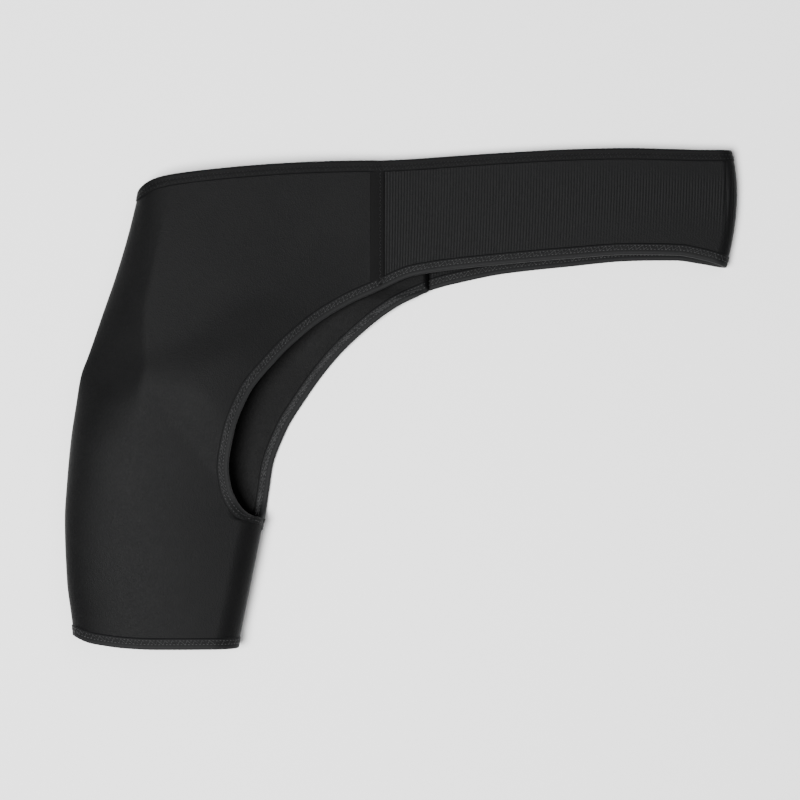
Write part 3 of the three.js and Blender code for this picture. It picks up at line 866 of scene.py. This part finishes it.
# Walks over the cloth from its edge, square to it, and keeps each step's place and outward direction.
def walkIn(start, along, inwardSign):
    _, normal = nearestCloth(start)
    direction = along.cross(normal).normalized() * inwardSign
    _, normal = nearestCloth(start + direction * bindingLook["firstStep"] * mm)
    direction = along.cross(normal).normalized() * inwardSign
    places, normals = [start], [normal]
    step = brace["bindingWidth"] / bindingLook["steps"] * mm
    current = start
    for _ in range(bindingLook["steps"]):
        place, normal = nearestCloth(current + direction * step)
        move = place - current
        flat = move - normal * move.dot(normal)
        if flat.length > bindingLook["leastMove"] * step:
            direction = flat.normalized()
        places.append(place)
        normals.append(normal)
        current = place
    return places, normals


def edgeSections(path, inwardSign, closed):
    points = resample(path, bindingLook["spacing"], closed)
    count = len(points)
    length = count * bindingLook["spacing"]
    sections = []
    for i, point in enumerate(points):
        if closed:
            before, after = points[i - 1], points[(i + 1) % count]
        else:
            before, after = points[max(i - 1, 0)], points[min(i + 1, count - 1)]
        along = (after - before).normalized()
        places, normals = walkIn(point, along, inwardSign)
        travelled = i * bindingLook["spacing"]
        toEnd = length if closed else min(travelled, length - travelled)
        sections.append({"places": places, "normals": normals, "travelled": travelled, "toEnd": toEnd})
    return sections


# Half of the wall under a binding. It changes from panel to strap across the seam.
def clothHalf(point):
    blend = bindingLook["seamBlend"] * mm
    onPanel = clamp((seamX * mm + shift.x + blend / 2 - point.x) / blend)
    return mix(brace["strapWall"], brace["neopreneWall"], onPanel) / 2 * mm


def tapeHeight(inside, part):
    height = mix(bindingLook["endTape"], bindingLook["tape"], ease(part["toEnd"] / bindingLook["endTaper"]))
    for row in bindingLook["stitchRows"]:
        height -= bindingLook["stitchDip"] * math.exp(-(((inside - row) / bindingLook["dipWidth"]) ** 2))
    wave = math.sin(2 * math.pi * part["travelled"] / bindingLook["puckerPitch"])
    height += bindingLook["pucker"] * wave
    toRim = (brace["bindingWidth"] - inside) / bindingLook["rimReach"]
    return max(height, bindingLook["thinnest"]) * mix(bindingLook["rimStart"], 1, rounding(toRim))


# Closed loop round the folded tape: over the cloth, round its edge, under it and back inside.
def bindingProfile(part):
    places, normals = part["places"], part["normals"]
    steps = bindingLook["steps"]
    half = clothHalf(places[0])
    inward = (places[1] - places[0]).normalized()
    inner = half + bindingLook["innerGap"] * mm
    tip = places[0] - inward * bindingLook["innerTip"] * mm
    insides = [brace["bindingWidth"] * k / steps for k in range(steps + 1)]
    lifts = [half + tapeHeight(inside, part) * mm for inside in insides]
    # the share is highest at the folded edge, where the material paints a highlight
    edgeHighlight = [math.exp(-((inside / bindingLook["edgeHighlightReach"]) ** 2)) for inside in insides]
    loop, shares = [], []
    for k in range(steps, 0, -1):
        loop.append(places[k] + normals[k] * lifts[k])
        shares.append(edgeHighlight[k])
    for k in range(bindingLook["foldSteps"] + 1):
        angle = math.pi * k / bindingLook["foldSteps"]
        out = math.sin(angle) * lifts[0] * bindingLook["foldOut"]
        loop.append(places[0] + normals[0] * math.cos(angle) * lifts[0] - inward * out)
        shares.append(1)
    for k in range(1, steps + 1):
        loop.append(places[k] - normals[k] * lifts[k])
        shares.append(edgeHighlight[k])
    loop += [places[k] - normals[k] * inner for k in range(steps, 0, -1)]
    loop += [tip - normals[0] * inner, tip + normals[0] * inner]
    loop += [places[k] + normals[k] * inner for k in range(1, steps + 1)]
    shares += [0] * (len(loop) - len(shares))
    return loop + [loop[0].copy()], shares + [shares[0]]


def makeBinding(name, sections, closed, made, node):
    rows, shares = [], []
    for part in sections:
        loop, loopShares = bindingProfile(part)
        rows.append(loop)
        shares.append(loopShares)
    if closed:
        rows.append([point.copy() for point in rows[0]])
        shares.append(shares[0])
    bm = gridFromRows(rows, shares)
    bmesh.ops.remove_doubles(bm, verts=bm.verts, dist=bindingLook["weld"])
    bmesh.ops.holes_fill(bm, edges=bm.edges, sides=0)
    bmesh.ops.recalc_face_normals(bm, faces=bm.faces)
    binding = newPiece(name, bm)
    finishPiece(binding, made, [node])


stitchLook = {
    "pitch": 3.3,
    "length": 2.3,
    "width": 0.8,
    "height": 0.4,
    "sink": 0.05,
    "crossWidth": 0.35,
    "crossDip": 0.8,  # share of the binding's stitchDip
}


# Straight stitches in two rows on both faces of a binding, and a thread that crosses between them.
def makeStitches(name, sections, closed, made):
    bm = bmesh.new()
    for side in (1, -1):
        lines = [stitchLine(sections, row, side, closed) for row in bindingLook["stitchRows"]]
        for line in lines:
            for place, along, normal in line:
                addStitch(bm, place, along, normal, stitchLook["length"], stitchLook["width"])
        for i in range(min(len(line) for line in lines) - 1):
            start = lines[i % 2][i]
            end = lines[(i + 1) % 2][i + 1]
            span = end[0] - start[0]
            lift = start[2] * side * bindingLook["stitchDip"] * stitchLook["crossDip"] * mm
            place = (start[0] + end[0]) / 2 + lift
            addStitch(bm, place, span, start[2], span.length / mm, stitchLook["crossWidth"])
    stitches = newPiece(name, bm)
    finishPiece(stitches, made)


# Places, directions and normals of one row of stitches.
def stitchLine(sections, row, side, closed):
    steps = bindingLook["steps"]
    share = row / brace["bindingWidth"] * steps
    k = min(int(share), steps - 1)
    line = []
    for part in sections + sections[:1] if closed else sections:
        normal = part["normals"][k].lerp(part["normals"][k + 1], share - k).normalized()
        place = part["places"][k].lerp(part["places"][k + 1], share - k)
        lift = clothHalf(place) + (tapeHeight(row, part) - stitchLook["sink"]) * mm
        line.append((place + normal * lift * side, normal))
    result = []
    travelled, due = 0, 0
    for (before, normal), (after, _) in zip(line, line[1:]):
        span = (after - before).length
        while due <= travelled + span:
            place = before.lerp(after, (due - travelled) / max(span, 1e-9))
            result.append((place, after - before, normal))
            due += stitchLook["pitch"] * mm
        travelled += span
    return result


def addStitch(bm, place, along, normal, length, width):
    along = along.normalized()
    across = normal.cross(along).normalized()
    up = along.cross(across)
    axes = Matrix((along, across, up)).transposed().to_4x4()
    size = Vector((length, width, stitchLook["height"])) * mm / 2
    matrix = Matrix.Translation(place) @ axes @ Matrix.Diagonal((*size, 1))
    bmesh.ops.create_icosphere(bm, subdivisions=1, radius=1, matrix=matrix)


def armholeEdge(side):
    count = clothLook["edgePoints"]
    shares = [armholeShare(i / count) for i in range(count + 1)]
    return [toFrame(clothPoint(t, side, edgeX(t, side) - foldX(t))) for t in shares]


neckPath = clothRows[0] + bandRows[0][:: bandLook["middleStep"]]
strapEdge = bandRows[-1][:: -bandLook["middleStep"]]
underarmPath = strapEdge + armholeEdge("front") + armholeEdge("back")[::-1][1:]
cuffPath = clothRows[-1][:-1]

neckSections = edgeSections(neckPath, 1, False)
underarmSections = edgeSections(underarmPath, 1, False)
cuffSections = edgeSections(cuffPath, -1, True)
makeBinding("neckTape", neckSections, False, "shadedNeckCloth", "neck_binding")
makeBinding("underarmTape", underarmSections, False, "tapeCloth", "underarm_binding")
makeBinding("cuffTape", cuffSections, True, "tapeCloth", "cuff_binding")
makeStitches("neckStitches", neckSections, False, "seamThread")
makeStitches("underarmStitches", underarmSections, False, "thread")
makeStitches("cuffStitches", cuffSections, True, "thread")
print("bindings made")

seamLook = {
    "columns": 14,
    "rows": 60,
    "wall": 0.4,
    "bow": 0.35,
    "bowEdge": 1.02,
    "ends": 0.03,  # share left free above and below the tape
    "line": 2.6,  # zigzag's middle, right of the seam
    "swing": 1.1,
    "zigzag": 3.1,
    "zigzagEnds": 0.05,
    "zigzagShare": 0.92,
    "threadShare": 0.98,
}


# Point on the front over the seam: across in millimetres from it, v from the upper to the lower edge.
def seamPlace(across, v, height):
    x = seamX + across
    y = mix(neckY(seamX), seamLow, v)
    centre = toFrame(Vector((x, y, frontHeight(seamShare * v, x - foldX(seamShare * v), x, y))))
    _, normal = nearestCloth(centre)
    return centre + normal * height * mm, normal


def makeSeamTape():
    half = brace["seamTapeWidth"] / 2
    rows = []
    for j in range(seamLook["rows"] + 1):
        v = mix(seamLook["ends"], 1 - seamLook["ends"], j / seamLook["rows"])
        row = []
        for i in range(seamLook["columns"] + 1):
            share = 2 * i / seamLook["columns"] - 1
            bow = seamLook["bow"] * rounding(seamLook["bowEdge"] - abs(share))
            height = brace["neopreneWall"] / 2 + bow
            row.append(seamPlace(share * half, v, height)[0])
        rows.append(row)
    tape = newPiece("seamTape", gridFromRows(rows))
    addWall(tape, seamLook["wall"])
    finishPiece(tape, "seamCloth", ["seam_tape"])


# Zigzag of thread near the tape's right edge, as in the photograph.
def makeSeamStitches():
    bm = bmesh.new()
    count = round(seamHeight * seamLook["zigzagShare"] / seamLook["zigzag"])
    height = brace["neopreneWall"] / 2 + seamLook["bow"] + seamLook["wall"] / 2
    for i in range(count):
        ends = []
        for end in (0, 1):
            v = mix(seamLook["zigzagEnds"], 1 - seamLook["zigzagEnds"], (i + end) / count)
            swing = seamLook["swing"] if (i + end) % 2 else -seamLook["swing"]
            ends.append(seamPlace(seamLook["line"] + swing, v, height))
        span = ends[1][0] - ends[0][0]
        place = (ends[0][0] + ends[1][0]) / 2
        length = span.length / mm * seamLook["threadShare"]
        addStitch(bm, place, span, ends[0][1], length, stitchLook["width"])
    stitches = newPiece("seamStitches", bm)
    finishPiece(stitches, "seamThread")


makeSeamTape()
makeSeamStitches()
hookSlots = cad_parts["hook_pad"].data.materials
hookSlots.clear()
hookSlots.append(fabrics["hookCloth"])
print("seam made")

floorLook = {"size": 8, "color": (0.92, 0.92, 0.92), "roughness": 0.9, "specular": 0.1}
lightLook = {
    "key": {"place": (-0.8, -0.4, 2.9), "size": 1.2, "power": 245},
    "fill": {"place": (1.3, 0.9, 3.2), "size": 2.4, "power": 34},
    "world": 0.17,
}


def makeStage():
    bm = bmesh.new()
    bmesh.ops.create_grid(bm, x_segments=1, y_segments=1, size=floorLook["size"] / 2)
    floor = newPiece("floor", bm, False)
    look = floorLook
    made, _ = material("floorPaint", look["color"], look["roughness"], look["specular"])
    floor.data.materials.append(made)


def makeLights():
    for name in ("key", "fill"):
        look = lightLook[name]
        data = bpy.data.lights.new(name, "AREA")
        data.size = look["size"]
        data.energy = look["power"]
        lamp = bpy.data.objects.new(name, data)
        lamp.location = look["place"]
        lamp.rotation_euler = (-Vector(look["place"])).to_track_quat("-Z", "Y").to_euler()
        bpy.context.scene.collection.objects.link(lamp)
    world = bpy.data.worlds.new("studio")
    world.use_nodes = True
    background = world.node_tree.nodes["Background"]
    background.inputs["Color"].default_value = (1, 1, 1, 1)
    background.inputs["Strength"].default_value = lightLook["world"]
    bpy.context.scene.world = world


makeStage()
makeLights()
middle.free()
print("scene ready")
